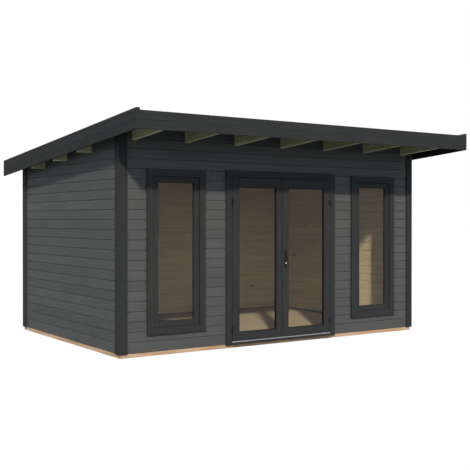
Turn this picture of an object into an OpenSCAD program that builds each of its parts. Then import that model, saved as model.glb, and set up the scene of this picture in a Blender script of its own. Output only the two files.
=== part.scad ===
// Timber garden shed with a single-slope roof, a glazed double door and two tall windows.
// Millimetres. +X to the right along the front, +Y to the back, +Z up.
// The origin is on the ground, under the middle of the floor.

/* [Walls] */
// Width over the outer wall faces
wall_w = 4450; // [4250:10:5200]
// Depth over the outer wall faces
wall_d = 3000; // [2600:10:3600]
// Thickness of the wall boards
wall_t = 44; // [34:1:60]

/* [Base and floor] */
// Height of the ground beams, which is where the walls start
base_h = 43; // [35:1:95]
// Width of the ground beams and joists
base_w = 70; // [64:1:120]
// Number of joists, odd so that one lies under the middle
joist_n = 7; // [5:2:9]
// Thickness of the floor boards
floor_t = 19; // [16:1:28]

/* [Roof] */
// Slope of the roof in degrees, falling to the back
roof_pitch = 4.4; // [2:0.1:6]
// Height from the door or window casing's top to the rafters' underside, at the front wall
head_room = 296; // [200:1:500]
// Overhang of the roof at the front
front_over = 815; // [400:5:1000]
// Overhang of the roof at each side, more where the rafters reach further
side_over = 220; // [120:5:400]
// Overhang of the roof at the back
back_over = 220; // [120:5:400]
// Thickness of the roof boards
deck_t = 20; // [16:1:28]
// Thickness of the roofing felt
felt_t = 4; // [2:0.5:8]
// Number of rafters under the front overhang
rafter_n = 7; // [5:1:8]
// Spacing of the rafters
rafter_pitch = 686; // [450:1:700]
// Width of a rafter
rafter_w = 50; // [38:1:70]
// Depth of a rafter, square to the roof
rafter_h = 140; // [100:1:170]
// Number of purlins
purlin_n = 3; // [2:1:4]
// Spacing of the purlins
purlin_pitch = 737; // [500:1:760]
// Width of a purlin
purlin_w = 50; // [38:1:80]
// Height of a purlin at its front face
purlin_h = 184; // [150:1:220]
// Gap between a purlin's end and the fascia, which an outer rafter keeps too
purlin_gap = 30; // [0:5:60]

/* [Fascia and verge] */
// Thickness of the fascia boards
fascia_t = 20; // [16:1:28]
// Height of one fascia board, of which the front and the sides have two
fascia_board_h = 93; // [70:1:120]
// Open joint between the two fascia boards
fascia_joint = 2; // [1:0.5:10]
// Width of the raised strip along each side of the roof
verge_w = 45; // [30:1:70]
// Height of the raised strip over the roof deck
verge_h = 26; // [12:1:40]

/* [Corner trims] */
// Thickness of the corner boards
trim_t = 20; // [16:1:26]
// Width of the corner board on the side wall
trim_side_w = 120; // [80:1:160]
// Width of the corner board on the front or back wall
trim_front_w = 80; // [60:1:100]

/* [Doorway] */
// Mean width of the two door leaves
leaf_w = 752; // [650:1:780]
// How much wider the right leaf is, and how much narrower the left one
meeting_shift = 20; // [0:1:30]
// Height of a door leaf
leaf_h = 1955; // [1850:1:2000]
// Thickness of a door leaf
leaf_t = 44; // [38:1:50]
// Gap between a leaf and the frame, at its edges and at the stops
door_gap = 5; // [5:0.5:8]
// Gap between the two leaves
meeting_gap = 8; // [6:0.5:12]
// Height of the timber sill
sill_h = 23; // [16:1:40]
// How far the sill stands out in front of the casing and the threshold
sill_out = 32; // [0:1:60]
// Height of the metal threshold on the sill
threshold_h = 10; // [6:1:16]
// Gap between the threshold and the leaves
threshold_gap = 6; // [5:0.5:10]
// Thickness of the door jambs and head
jamb_t = 40; // [28:1:50]
// How far the stops stand into the opening
stop_w = 14; // [8:1:25]
// Width of the casing boards round the doorway and the windows
casing_w = 80; // [60:1:90]
// Thickness of the casing boards
casing_t = 28; // [16:1:32]
// How far the casing legs hang below the wall boards
casing_drop = 8; // [0:1:20]

/* [Door leaves] */
// Width of the stiles of a leaf, the left leaf's meeting stile being narrower
stile_w = 100; // [80:1:125]
// Height of the top rail of a leaf
top_rail_h = 115; // [90:1:150]
// Height of the bottom rail of a leaf
bottom_rail_h = 100; // [90:1:250]
// Bevel on the back of a leaf's meeting edge
lead_bevel = 3; // [2.5:0.5:6]

/* [Windows] */
// Distance from the middle of the front to the middle of a window
window_x = 1515; // [1420:1:1560]
// Width of a window over its casing
window_w = 770; // [640:1:800]
// Height of a window over its casing
window_h = 1873; // [1200:1:1920]
// Height of the casing's lower edge above the ground
window_z = 234; // [150:1:300]
// Thickness of the fixed frame in the wall
frame_t = 30; // [20:1:40]
// Width of the sash members
sash_w = 66; // [50:1:100]
// Thickness of the sash
sash_t = 44; // [36:1:46]
// How far the sash lies behind the face of the casing
sash_back = 20; // [10:1:25]
// Gap between the sash and the fixed frame
sash_gap = 4; // [2:0.5:6]
// How far the sash stop stands into the frame
sash_stop_w = 14; // [8:1:20]
// Thickness of the sash stop
sash_stop_t = 8; // [5:1:10]

/* [Glass] */
// Thickness of the panes
glass_t = 6; // [4:0.5:12]
// Depth to which a pane sits in its groove
glass_bite = 12; // [6:1:20]
// Clearance round a pane in its groove
glass_fit = 0.5; // [0.2:0.1:0.8]

/* [Hinges] */
// Height of the lower hinge above the bottom of the leaf
hinge_low = 140; // [100:1:300]
// Distance of the upper hinge below the top of the leaf
hinge_high = 295; // [100:1:400]
// Diameter of the hinge knuckles
knuckle_d = 14; // [12:1:20]
// Height of each half of a hinge
knuckle_h = 42; // [30:1:60]
// Height of the washer gap between the two halves
knuckle_gap = 1; // [0.5:0.1:2]
// Diameter of the hinge pin
hinge_pin_d = 7; // [5:0.5:8]
// Radial clearance of the pin in the upper half
pin_fit = 0.06; // [0.02:0.01:0.1]
// Width of a hinge plate
hinge_plate_w = 26; // [18:1:40]
// Thickness of a hinge plate
hinge_plate_t = 2.5; // [2:0.1:4]

/* [Handle and lock] */
// Height of the lever above the bottom of the leaf
lever_z = 1003; // [900:1:1100]
// Distance of the lock cylinder below the lever
lock_drop = 92; // [72:1:100]
// Width of the handle plates
plate_w = 30; // [24:1:45]
// Height of the handle plates
plate_h = 225; // [200:1:260]
// Thickness of the handle plates
plate_t = 8; // [4:1:12]
// Diameter of the lever
lever_d = 16; // [12:1:20]
// Distance from the plate to the middle of the lever's grip
lever_out = 46; // [38:1:60]
// Length of the lever's grip, from the spindle
lever_len = 118; // [90:1:140]
// Radius of the lever's bend
lever_bend = 14; // [11:1:20]
// Diameter of the lock cylinder
cylinder_d = 17; // [14:1:20]
// How far the lock cylinder stands out of the plate
cylinder_out = 4; // [2:0.5:8]

/* [Fits] */
// Hairline joint between boards that butt together
joint_fit = 0.5; // [0.3:0.1:0.8]
// Clearance of a rafter or purlin in its notch
notch_fit = 0.5; // [0.3:0.1:0.8]
// Gap between the sloping faces of the roof that lie on each other
seat_fit = 0.3; // [0.2:0.1:0.5]

/* [Hidden] */
$fn = 48;
cut = 5;

front_y = -wall_d / 2;
back_y = wall_d / 2;
left_x = -wall_w / 2;
right_x = wall_w / 2;
floor_z = base_h + floor_t;

// Doorway: the clear opening, the rough opening in the wall and the leaves
clear_w = 2 * leaf_w + meeting_gap + 2 * door_gap;
threshold_z = base_h + sill_h + threshold_h;
leaf_z = threshold_z + threshold_gap;
clear_z = leaf_z + leaf_h + door_gap;
rough_w = clear_w + 2 * jamb_t;
rough_z = clear_z + jamb_t;
casing_y = front_y - casing_t;
sill_y = casing_y - sill_out;
function leaf_width(side) = leaf_w + side * meeting_shift;
function meeting_stile(side) = stile_w + min(side, 0) * meeting_shift;
leaf_back_y = casing_y + leaf_t;
inside_y = front_y + wall_t;
stop_y = leaf_back_y + door_gap;
leaf_x = meeting_gap / 2 + leaf_w;
hinge_x = leaf_x + door_gap / 2;
hinge_y = casing_y - knuckle_d / 2;
hinge_zs = [leaf_z + hinge_low, leaf_z + leaf_h - hinge_high];
handle_x = meeting_gap / 2 + stile_w / 2 - meeting_shift;
handle_z = leaf_z + lever_z;
lock_z = handle_z - lock_drop;

// Windows: the fixed frame fills the hole in the wall behind the casing
frame_in_w = window_w - 2 * casing_w;
frame_in_h = window_h - 2 * casing_w;
frame_in_z = window_z + casing_w;
sash_y = casing_y + sash_back;
sash_out_w = frame_in_w - 2 * sash_gap;
sash_out_h = frame_in_h - 2 * sash_gap;

// Roof planes, falling from the front to the back
slope = tan(roof_pitch);
deck_v = deck_t / cos(roof_pitch);
rafter_v = rafter_h / cos(roof_pitch);
eave_y = front_y - front_over;
rear_y = back_y + back_over;
rafter_out_x = rafter_x(rafter_n - 1) + rafter_w / 2;
verge_x = max(right_x + side_over, rafter_out_x + purlin_gap + fascia_t);
fascia_h = 2 * fascia_board_h + fascia_joint;
front_h = max(clear_z + casing_w, window_z + window_h) + head_room + rafter_v + seat_fit;
function deck_under(y) = front_h - (y - front_y) * slope;
function deck_top(y) = deck_under(y) + deck_v;
function seat(y) = deck_under(y) - seat_fit;
function rafter_x(i) = (i - (rafter_n - 1) / 2) * rafter_pitch;
function purlin_y(i) = (i - (purlin_n - 1) / 2) * purlin_pitch;
first_purlin_y = purlin_y(0) - purlin_w / 2;

// Basic shapes
module slab(low, high) {
  translate(low)
    cube(high - low);
}

// A profile drawn as [y, z] and run along X
module run_x(x1, x2) {
  translate([x1, 0, 0])
    rotate([90, 0, 90])
      linear_extrude(x2 - x1)
        children();
}

// Section between two distances below the roof deck's top, along the slope
module under_roof_profile(y1, y2, upper, lower) {
  polygon([
    [y1, deck_top(y1) - upper],
    [y1, deck_top(y1) - lower],
    [y2, deck_top(y2) - lower],
    [y2, deck_top(y2) - upper]
  ]);
}

// Section of a wall, level at its foot and cut to the slope just under the roof deck
module wall_profile(y1, y2, z1) {
  polygon([
    [y1, z1],
    [y2, z1],
    [y2, seat(y2)],
    [y1, seat(y1)]
  ]);
}

// A rafter, or with a fit and a height above it the notch that takes it
module rafter_bar(i, fit, up) {
  run_x(rafter_x(i) - rafter_w / 2 - fit, rafter_x(i) + rafter_w / 2 + fit)
    under_roof_profile(eave_y + fascia_t, first_purlin_y,
                       deck_v + seat_fit - up, deck_v + seat_fit + rafter_v + fit);
}

// A purlin, or with a fit and a height above it the notch that takes it
module purlin_bar(i, fit, up) {
  y1 = purlin_y(i) - purlin_w / 2 - fit;
  y2 = purlin_y(i) + purlin_w / 2 + fit;
  foot = seat(purlin_y(i) - purlin_w / 2) - purlin_h;
  run_x(-verge_x + fascia_t + purlin_gap, verge_x - fascia_t - purlin_gap)
    polygon([
      [y1, foot],
      [y2, foot],
      [y2, seat(y2) + up],
      [y1, seat(y1) + up]
    ]);
}

// Base and floor
module base_beam(y1) {
  color("burlywood")
    slab([left_x, y1, 0], [right_x, y1 + base_w, base_h]);
}

module floor_joists() {
  step = (wall_w - base_w) / (joist_n - 1);
  color("burlywood")
    for (i = [0 : joist_n - 1])
      slab([left_x + i * step, front_y + base_w, 0],
           [left_x + i * step + base_w, back_y - base_w, base_h]);
}

module floor_boards() {
  color("tan")
    slab([left_x + wall_t, front_y + wall_t, base_h],
         [right_x - wall_t, back_y - wall_t, floor_z]);
}

// Walls
module front_wall_piece(x1, x2, z1) {
  color("dimgray")
    difference() {
      run_x(x1, x2)
        wall_profile(front_y, inside_y, z1);
      for (i = [0 : rafter_n - 1])
        rafter_bar(i, notch_fit, cut);
      for (side = [-1, 1])
        window_hole(side);
    }
}

module window_hole(side) {
  hole_w = frame_in_w + 2 * frame_t;
  translate([side * window_x - hole_w / 2, front_y - cut, frame_in_z - frame_t])
    cube([hole_w, wall_t + 2 * cut, frame_in_h + 2 * frame_t]);
}

module side_wall(x1) {
  color("dimgray")
    difference() {
      run_x(x1, x1 + wall_t)
        wall_profile(front_y + wall_t, back_y - wall_t, base_h);
      for (i = [0 : purlin_n - 1])
        purlin_bar(i, notch_fit, cut);
    }
}

module back_wall() {
  color("dimgray")
    run_x(left_x, right_x)
      wall_profile(back_y - wall_t, back_y, base_h);
}

// A corner of two boards, given for the right side and mirrored for the left
module corner_trim(side, y, out) {
  side_y1 = out < 0 ? y - trim_t : y - trim_side_w + trim_t;
  end_y1 = out < 0 ? y - trim_t : y;
  color("darkslategray")
    mirror([side < 0 ? 1 : 0, 0, 0]) {
      run_x(right_x, right_x + trim_t)
        wall_profile(side_y1, side_y1 + trim_side_w, base_h);
      run_x(right_x - joint_fit - trim_front_w, right_x - joint_fit)
        wall_profile(end_y1, end_y1 + trim_t, base_h);
    }
}

// Roof
module purlins() {
  color("darkkhaki")
    for (i = [0 : purlin_n - 1])
      purlin_bar(i, 0, 0);
}

module front_rafters() {
  color("darkkhaki")
    for (i = [0 : rafter_n - 1])
      rafter_bar(i, 0, 0);
}

module roof_deck() {
  color("tan")
    run_x(-verge_x + fascia_t, verge_x - fascia_t)
      under_roof_profile(eave_y + fascia_t, rear_y - fascia_t, 0, deck_v);
}

module roofing_felt() {
  color("gray")
    run_x(-verge_x + verge_w, verge_x - verge_w)
      under_roof_profile(eave_y, rear_y, -felt_t - seat_fit, -seat_fit);
}

// A board across the end of the roof, cut to the slope at its top
module end_board(y1, foot) {
  y2 = y1 + fascia_t;
  run_x(-verge_x, verge_x)
    polygon([
      [y1, foot],
      [y2, foot],
      [y2, deck_top(y2)],
      [y1, deck_top(y1)]
    ]);
}

// Two boards across the front
module front_fascia() {
  top = deck_top(eave_y);
  color("darkslategray") {
    end_board(eave_y, top - fascia_board_h);
    slab([-verge_x, eave_y, top - fascia_h],
         [verge_x, eave_y + fascia_t, top - fascia_board_h - fascia_joint]);
  }
}

// One board across the back, with the lower side boards running past under its ends
module back_fascia() {
  color("darkslategray")
    end_board(rear_y - fascia_t, deck_top(rear_y) - fascia_board_h);
}

module side_fascia(x1) {
  y1 = eave_y + fascia_t;
  color("darkslategray")
    run_x(x1, x1 + fascia_t) {
      under_roof_profile(y1, rear_y - fascia_t, 0, fascia_board_h);
      under_roof_profile(y1, rear_y, fascia_board_h + fascia_joint, fascia_h);
    }
}

module verge_strip(x1) {
  color("darkslategray")
    run_x(x1, x1 + verge_w)
      under_roof_profile(eave_y, rear_y, -verge_h - seat_fit, -seat_fit);
}

// Doorway
module door_frame() {
  color("darkslategray") {
    for (x1 = [-rough_w / 2, clear_w / 2])
      slab([x1, front_y, base_h], [x1 + jamb_t, inside_y, clear_z - joint_fit]);
    slab([-rough_w / 2, front_y, clear_z], [rough_w / 2, inside_y, rough_z]);
  }
}

module door_stops() {
  color("darkslategray") {
    for (x1 = [-clear_w / 2, clear_w / 2 - stop_w])
      slab([x1, stop_y, threshold_z], [x1 + stop_w, inside_y, clear_z - stop_w - joint_fit]);
    slab([-clear_w / 2, stop_y, clear_z - stop_w], [clear_w / 2, inside_y, clear_z]);
  }
}

module door_casing() {
  out_x = clear_w / 2 + casing_w;
  color("darkslategray") {
    for (x1 = [-out_x, clear_w / 2])
      slab([x1, casing_y, base_h - casing_drop], [x1 + casing_w, front_y, clear_z - joint_fit]);
    slab([-out_x, casing_y, clear_z], [out_x, front_y, clear_z + casing_w]);
  }
}

module door_sill() {
  color("darkslategray")
    slab([-clear_w / 2, sill_y, base_h], [clear_w / 2, inside_y, base_h + sill_h]);
}

module threshold() {
  color("silver")
    slab([-clear_w / 2, casing_y, base_h + sill_h], [clear_w / 2, inside_y, threshold_z]);
}

// Stiles and rails with a groove for the pane, from the corner at the origin.
// The stile at the far end has its own width and a bevelled back corner.
module glazed_frame(w, h, t, stile, far_stile, top, bottom, bevel) {
  open_w = w - stile - far_stile;
  difference() {
    union() {
      cube([stile, t, h]);
      translate([w - far_stile, 0, 0])
        linear_extrude(h)
          polygon([[0, 0], [far_stile, 0], [far_stile - bevel, t], [0, t]]);
      for (rail = [[0, bottom], [h - top, top]])
        translate([stile + joint_fit, 0, rail[0]])
          cube([open_w - 2 * joint_fit, t, rail[1]]);
    }
    translate([stile - glass_bite, t / 2 - glass_t / 2 - glass_fit, bottom - glass_bite])
      cube([open_w + 2 * glass_bite,
            glass_t + 2 * glass_fit,
            h - top - bottom + 2 * glass_bite]);
  }
}

// The pane that stands in the groove of such a frame
module pane(w, h, t, stile, far_stile, top, bottom) {
  edge = glass_bite - glass_fit;
  color("lightsteelblue", 0.4)
    translate([stile - edge, t / 2 - glass_t / 2, bottom - glass_bite])
      cube([w - stile - far_stile + 2 * edge,
            glass_t,
            h - top - bottom + 2 * glass_bite - glass_fit]);
}

// Places what is drawn for the left leaf, or its mirror image for the right one
module leaf_place(side) {
  mirror([side < 0 ? 0 : 1, 0, 0])
    translate([-leaf_x, casing_y, leaf_z])
      children();
}

module door_leaf(side) {
  color("darkslategray")
    leaf_place(side)
      glazed_frame(leaf_width(side), leaf_h, leaf_t, stile_w, meeting_stile(side),
                   top_rail_h, bottom_rail_h, lead_bevel);
}

module door_glass(side) {
  leaf_place(side)
    pane(leaf_width(side), leaf_h, leaf_t, stile_w, meeting_stile(side), top_rail_h, bottom_rail_h);
}

// Lift-off hinges: the lower half carries the pin, the upper half turns on it
module hinge_frame_halves() {
  color("black")
    for (side = [-1, 1], z = hinge_zs)
      translate([side * hinge_x, hinge_y, z - knuckle_h - knuckle_gap / 2]) {
        cylinder(d = knuckle_d, h = knuckle_h);
        cylinder(d = hinge_pin_d, h = 2 * knuckle_h + knuckle_gap);
        translate([side < 0 ? -hinge_plate_w : 0, knuckle_d / 2 - hinge_plate_t, 0])
          cube([hinge_plate_w, hinge_plate_t, knuckle_h]);
      }
}

module hinge_leaf_halves(side) {
  color("black")
    for (z = hinge_zs)
      translate([side * hinge_x, hinge_y, z + knuckle_gap / 2])
        difference() {
          union() {
            cylinder(d = knuckle_d, h = knuckle_h);
            translate([side < 0 ? 0 : -hinge_plate_w, knuckle_d / 2 - hinge_plate_t, 0])
              cube([hinge_plate_w, hinge_plate_t, knuckle_h]);
          }
          translate([0, 0, -cut])
            cylinder(d = hinge_pin_d + 2 * pin_fit, h = knuckle_h + 2 * cut);
        }
}

// Places what is drawn on a face at y = 0, looking out along -Y, on both faces of the right leaf
module both_faces(z) {
  translate([handle_x, casing_y, z])
    children();
  translate([handle_x, leaf_back_y, z])
    mirror([0, 1, 0])
      children();
}

// A plate with round ends and a lever that turns from the spindle into its grip
module handle_set() {
  plate_low = (plate_w - plate_h + lock_drop) / 2 - lock_drop;
  neck = lever_out - lever_bend;
  rotate([90, 0, 0])
    linear_extrude(plate_t) {
      for (z = [plate_low, plate_low + plate_h - plate_w])
        translate([0, z])
          circle(d = plate_w);
      translate([-plate_w / 2, plate_low])
        square([plate_w, plate_h - plate_w]);
    }
  translate([0, -plate_t, 0]) {
    rotate([90, 0, 0])
      cylinder(d = lever_d, h = neck);
    translate([lever_bend, -neck, 0])
      rotate([0, 0, 180])
        rotate_extrude(angle = 90)
          translate([lever_bend, 0])
            circle(d = lever_d);
    translate([lever_bend, -lever_out, 0])
      rotate([0, 90, 0])
        cylinder(d = lever_d, h = lever_len - lever_bend);
  }
}

module door_handle() {
  color("black")
    both_faces(handle_z)
      handle_set();
}

module lock_cylinder() {
  color("silver")
    both_faces(lock_z)
      translate([0, -plate_t, 0])
        rotate([90, 0, 0])
          cylinder(d = cylinder_d, h = cylinder_out);
}

// Windows
module window_casing(side) {
  color("darkslategray")
    translate([side * window_x - window_w / 2, casing_y, window_z]) {
      for (x1 = [0, window_w - casing_w])
        translate([x1, 0, 0])
          cube([casing_w, casing_t, window_h]);
      for (z1 = [0, window_h - casing_w])
        translate([casing_w + joint_fit, 0, z1])
          cube([frame_in_w - 2 * joint_fit, casing_t, casing_w]);
    }
}

// Four members that fill the hole in the wall, with a stop behind the sash on each
module window_frame(side) {
  stop_y1 = sash_y + sash_t;
  side_h = frame_in_h + 2 * frame_t;
  color("darkslategray")
    translate([side * window_x, 0, frame_in_z]) {
      for (turn = [0, 1])
        mirror([turn, 0, 0]) {
          translate([frame_in_w / 2, front_y, -frame_t])
            cube([frame_t, wall_t, side_h]);
          translate([frame_in_w / 2 - sash_stop_w, stop_y1, -frame_t])
            cube([sash_stop_w + frame_t, sash_stop_t, side_h]);
        }
      for (z = [[-frame_t, -frame_t], [frame_in_h, frame_in_h - sash_stop_w]]) {
        translate([-frame_in_w / 2 + joint_fit, front_y, z[0]])
          cube([frame_in_w - 2 * joint_fit, stop_y1 - front_y, frame_t]);
        translate([-frame_in_w / 2 + sash_stop_w + joint_fit, stop_y1, z[1]])
          cube([frame_in_w - 2 * sash_stop_w - 2 * joint_fit, sash_stop_t, frame_t + sash_stop_w]);
      }
    }
}

// Places what is drawn from the sash's lower left corner
module sash_place(side) {
  translate([side * window_x - sash_out_w / 2, sash_y, frame_in_z + sash_gap])
    children();
}

module window_sash(side) {
  color("darkslategray")
    sash_place(side)
      glazed_frame(sash_out_w, sash_out_h, sash_t, sash_w, sash_w, sash_w, sash_w, 0);
}

module window_glass(side) {
  sash_place(side)
    pane(sash_out_w, sash_out_h, sash_t, sash_w, sash_w, sash_w, sash_w);
}

base_beam(front_y);  // base_beam_front
base_beam(back_y - base_w);  // base_beam_back
floor_joists();
floor_boards();  // floor
front_wall_piece(left_x, -rough_w / 2, base_h);  // front_wall_left
front_wall_piece(rough_w / 2, right_x, base_h);  // front_wall_right
front_wall_piece(-rough_w / 2, rough_w / 2, rough_z);  // front_wall_over_door
side_wall(left_x);  // left_wall
side_wall(right_x - wall_t);  // right_wall
back_wall();
corner_trim(-1, front_y, -1);  // corner_trim_front_left
corner_trim(1, front_y, -1);  // corner_trim_front_right
corner_trim(-1, back_y, 1);  // corner_trim_back_left
corner_trim(1, back_y, 1);  // corner_trim_back_right
purlins();
front_rafters();
roof_deck();
roofing_felt();
front_fascia();
back_fascia();
side_fascia(-verge_x);  // left_fascia
side_fascia(verge_x - fascia_t);  // right_fascia
verge_strip(-verge_x);  // left_verge_strip
verge_strip(verge_x - verge_w);  // right_verge_strip
door_frame();
door_stops();
door_casing();
door_sill();
threshold();
door_leaf(-1);  // left_door_leaf
door_glass(-1);  // left_door_glass
hinge_leaf_halves(-1);  // left_hinge_leaf_halves
door_leaf(1);  // right_door_leaf
door_glass(1);  // right_door_glass
hinge_leaf_halves(1);  // right_hinge_leaf_halves
hinge_frame_halves();
door_handle();
lock_cylinder();
window_casing(-1);  // left_window_casing
window_frame(-1);  // left_window_frame
window_sash(-1);  // left_window_sash
window_glass(-1);  // left_window_glass
window_casing(1);  // right_window_casing
window_frame(1);  // right_window_frame
window_sash(1);  // right_window_sash
window_glass(1);  // right_window_glass
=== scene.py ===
import math
import random

import bmesh
import bpy
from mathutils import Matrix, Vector


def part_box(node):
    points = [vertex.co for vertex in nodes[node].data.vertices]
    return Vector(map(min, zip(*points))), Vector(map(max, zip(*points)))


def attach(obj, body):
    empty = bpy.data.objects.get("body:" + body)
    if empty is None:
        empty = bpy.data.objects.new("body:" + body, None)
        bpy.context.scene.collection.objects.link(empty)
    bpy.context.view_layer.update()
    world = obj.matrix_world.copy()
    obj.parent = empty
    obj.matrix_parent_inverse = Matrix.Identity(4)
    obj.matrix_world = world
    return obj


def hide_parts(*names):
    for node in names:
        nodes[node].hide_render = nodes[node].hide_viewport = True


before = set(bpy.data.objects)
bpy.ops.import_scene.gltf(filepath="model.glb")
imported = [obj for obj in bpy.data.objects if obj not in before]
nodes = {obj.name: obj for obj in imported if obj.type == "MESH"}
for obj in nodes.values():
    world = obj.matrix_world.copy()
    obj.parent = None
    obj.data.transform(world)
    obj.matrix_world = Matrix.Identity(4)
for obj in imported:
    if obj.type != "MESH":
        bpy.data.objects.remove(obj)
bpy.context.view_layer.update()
diceSeed = 7
dice = random.Random(diceSeed)
sides = ("left", "right")
houseCorners = ("front_left", "front_right", "back_left", "back_right")
print("frame loaded with", len(nodes), "nodes")


# node helpers

mixShare, mixFirst, mixSecond, mixResult = 0, 6, 7, 2  # the colour sockets of a Mix node


def addNode(tree, kind, inputs=None, **settings):
    node = tree.nodes.new(kind)
    for key, value in settings.items():
        setattr(node, key, value)
    for key, value in (inputs or {}).items():
        if isinstance(value, bpy.types.NodeSocket):
            tree.links.new(value, node.inputs[key])
        else:
            node.inputs[key].default_value = value
    return node


def startMaterial(name, sockets):
    material = bpy.data.materials.new(name)
    material.use_nodes = True
    shader = material.node_tree.nodes["Principled BSDF"]
    for key, value in sockets.items():
        shader.inputs[key].default_value = value
    return material, material.node_tree, shader


def blendColour(tree, share, first, second):
    inputs = {mixShare: share, mixFirst: first, mixSecond: second}
    return addNode(tree, "ShaderNodeMix", inputs, data_type="RGBA").outputs[mixResult]


def remap(tree, value, span, low=0.0, high=1.0):
    return addNode(tree, "ShaderNodeMapRange", {
        "Value": value, "From Min": span[0], "From Max": span[1], "To Min": low, "To Max": high}).outputs[0]


def maths(tree, operation, first, second):
    return addNode(tree, "ShaderNodeMath", {0: first, 1: second}, operation=operation).outputs[0]


def noise(tree, place, scale, detail):
    return addNode(tree, "ShaderNodeTexNoise", {"Vector": place, "Scale": scale, "Detail": detail})


def stretched(tree, place, scale):
    return addNode(tree, "ShaderNodeMapping", {"Vector": place, "Scale": scale}).outputs[0]


def objectPlace(tree):
    return addNode(tree, "ShaderNodeTexCoord").outputs["Object"]


def firstChannel(tree, colour):
    return addNode(tree, "ShaderNodeSeparateColor", {0: colour}).outputs[0]


def bumpFrom(tree, shader, height, strength, depth):
    bump = addNode(tree, "ShaderNodeBump", {"Strength": strength, "Distance": depth, "Height": height})
    tree.links.new(bump.outputs[0], shader.inputs["Normal"])


def rgb(red, green, blue):
    return (red, green, blue, 1.0)


# timber: grain, knots and board tones follow the place of each board

grainLook = {
    "cell": 1.0, "cellRandom": 0.9,  # places of the knots
    "warpScale": 9.0, "warpDetail": 2.0, "warp": 0.05,  # uneven edges of the knots
    "rim": 0.045, "swirlReach": 4.0, "swirl": 0.03,  # soft edge of a knot and the grain that bends round it
    "stretch": (0.045, 1.0, 0.6),
    "ringBend": 7.0, "ringDetail": 3.0, "ringFine": 1.4, "ringRough": 0.6, "ringSpan": (0.25, 0.95),
    "fibreDetail": 6.0, "fibreRough": 0.65, "fibreSpan": (0.3, 0.72),
    "cloudScale": 1.7, "cloudDetail": 3.0, "cloudSpan": (0.3, 0.7),
    "roughSpan": (0.25, 0.75), "roughSpread": 0.07, "ringRelief": 0.5, "depth": 0.0006, "ior": 1.45}
fullSpan = (0.0, 1.0)


def timberKnots(tree, place, look):  # how much of a knot shows, and how far it bends the grain
    spot = stretched(tree, place, look["knotSpread"])
    cell = addNode(tree, "ShaderNodeTexVoronoi", {
        "Vector": spot, "Scale": grainLook["cell"], "Randomness": grainLook["cellRandom"]})
    warp = noise(tree, spot, grainLook["warpScale"], grainLook["warpDetail"]).outputs[0]
    edge = addNode(tree, "ShaderNodeMath", {
        0: warp, 1: grainLook["warp"], 2: cell.outputs["Distance"]}, operation="MULTIPLY_ADD").outputs[0]
    grown = maths(tree, "GREATER_THAN", firstChannel(tree, cell.outputs["Color"]), look["knotRare"])
    size = look["knotSize"]
    core = remap(tree, edge, (size + grainLook["rim"], size))
    pull = remap(tree, edge, (size * grainLook["swirlReach"], size), 0.0, grainLook["swirl"])
    return maths(tree, "MULTIPLY", core, grown), maths(tree, "MULTIPLY", pull, grown)


def timberPattern(tree, look):
    place = addNode(tree, "ShaderNodeAttribute", attribute_name="woodPlace").outputs["Vector"]
    tone = addNode(tree, "ShaderNodeAttribute", attribute_name="boardTone").outputs["Fac"]
    knot, swirl = timberKnots(tree, place, look)
    bent = addNode(tree, "ShaderNodeVectorMath", {0: place, 1: swirl}, operation="ADD").outputs[0]
    longways = stretched(tree, bent, grainLook["stretch"])
    rings = addNode(tree, "ShaderNodeTexWave", {
        "Vector": longways, "Scale": look["rings"], "Distortion": grainLook["ringBend"],
        "Detail": grainLook["ringDetail"], "Detail Scale": grainLook["ringFine"],
        "Detail Roughness": grainLook["ringRough"]},
        wave_type="BANDS", bands_direction="DIAGONAL").outputs["Fac"]
    fibres = noise(tree, longways, look["fibres"], grainLook["fibreDetail"])
    fibres.inputs["Roughness"].default_value = grainLook["fibreRough"]
    clouds = noise(tree, place, grainLook["cloudScale"], grainLook["cloudDetail"]).outputs[0]
    return tone, knot, rings, fibres.outputs[0], clouds


def timber(name, look):
    material, tree, shader = startMaterial(name, {
        "IOR": grainLook["ior"], "Specular IOR Level": look["shine"]})
    tone, knot, rings, fibres, clouds = timberPattern(tree, look)
    colour = blendColour(tree, remap(tree, rings, grainLook["ringSpan"]), look["early"], look["late"])
    streaked = blendColour(tree, look["streak"], colour, look["late"])
    colour = blendColour(tree, remap(tree, fibres, grainLook["fibreSpan"]), streaked, colour)
    colour = blendColour(tree, remap(tree, knot, fullSpan, 0.0, look["knotShow"]), colour, look["knot"])
    boardShade = remap(tree, tone, fullSpan, 1.0 - look["spread"], 1.0 + look["spread"])
    cloudShade = remap(tree, clouds, grainLook["cloudSpan"], 1.0 - look["cloud"], 1.0 + look["cloud"])
    shade = maths(tree, "MULTIPLY", boardShade, cloudShade)
    shaded = addNode(tree, "ShaderNodeVectorMath", {0: colour, "Scale": shade}, operation="SCALE").outputs[0]
    tree.links.new(shaded, shader.inputs["Base Color"])
    low, high = look["rough"] - grainLook["roughSpread"], look["rough"] + grainLook["roughSpread"]
    tree.links.new(remap(tree, fibres, grainLook["roughSpan"], low, high), shader.inputs["Roughness"])
    height = maths(tree, "ADD", fibres, maths(tree, "MULTIPLY", rings, grainLook["ringRelief"]))
    bumpFrom(tree, shader, height, look["bump"], grainLook["depth"])
    return material


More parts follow.
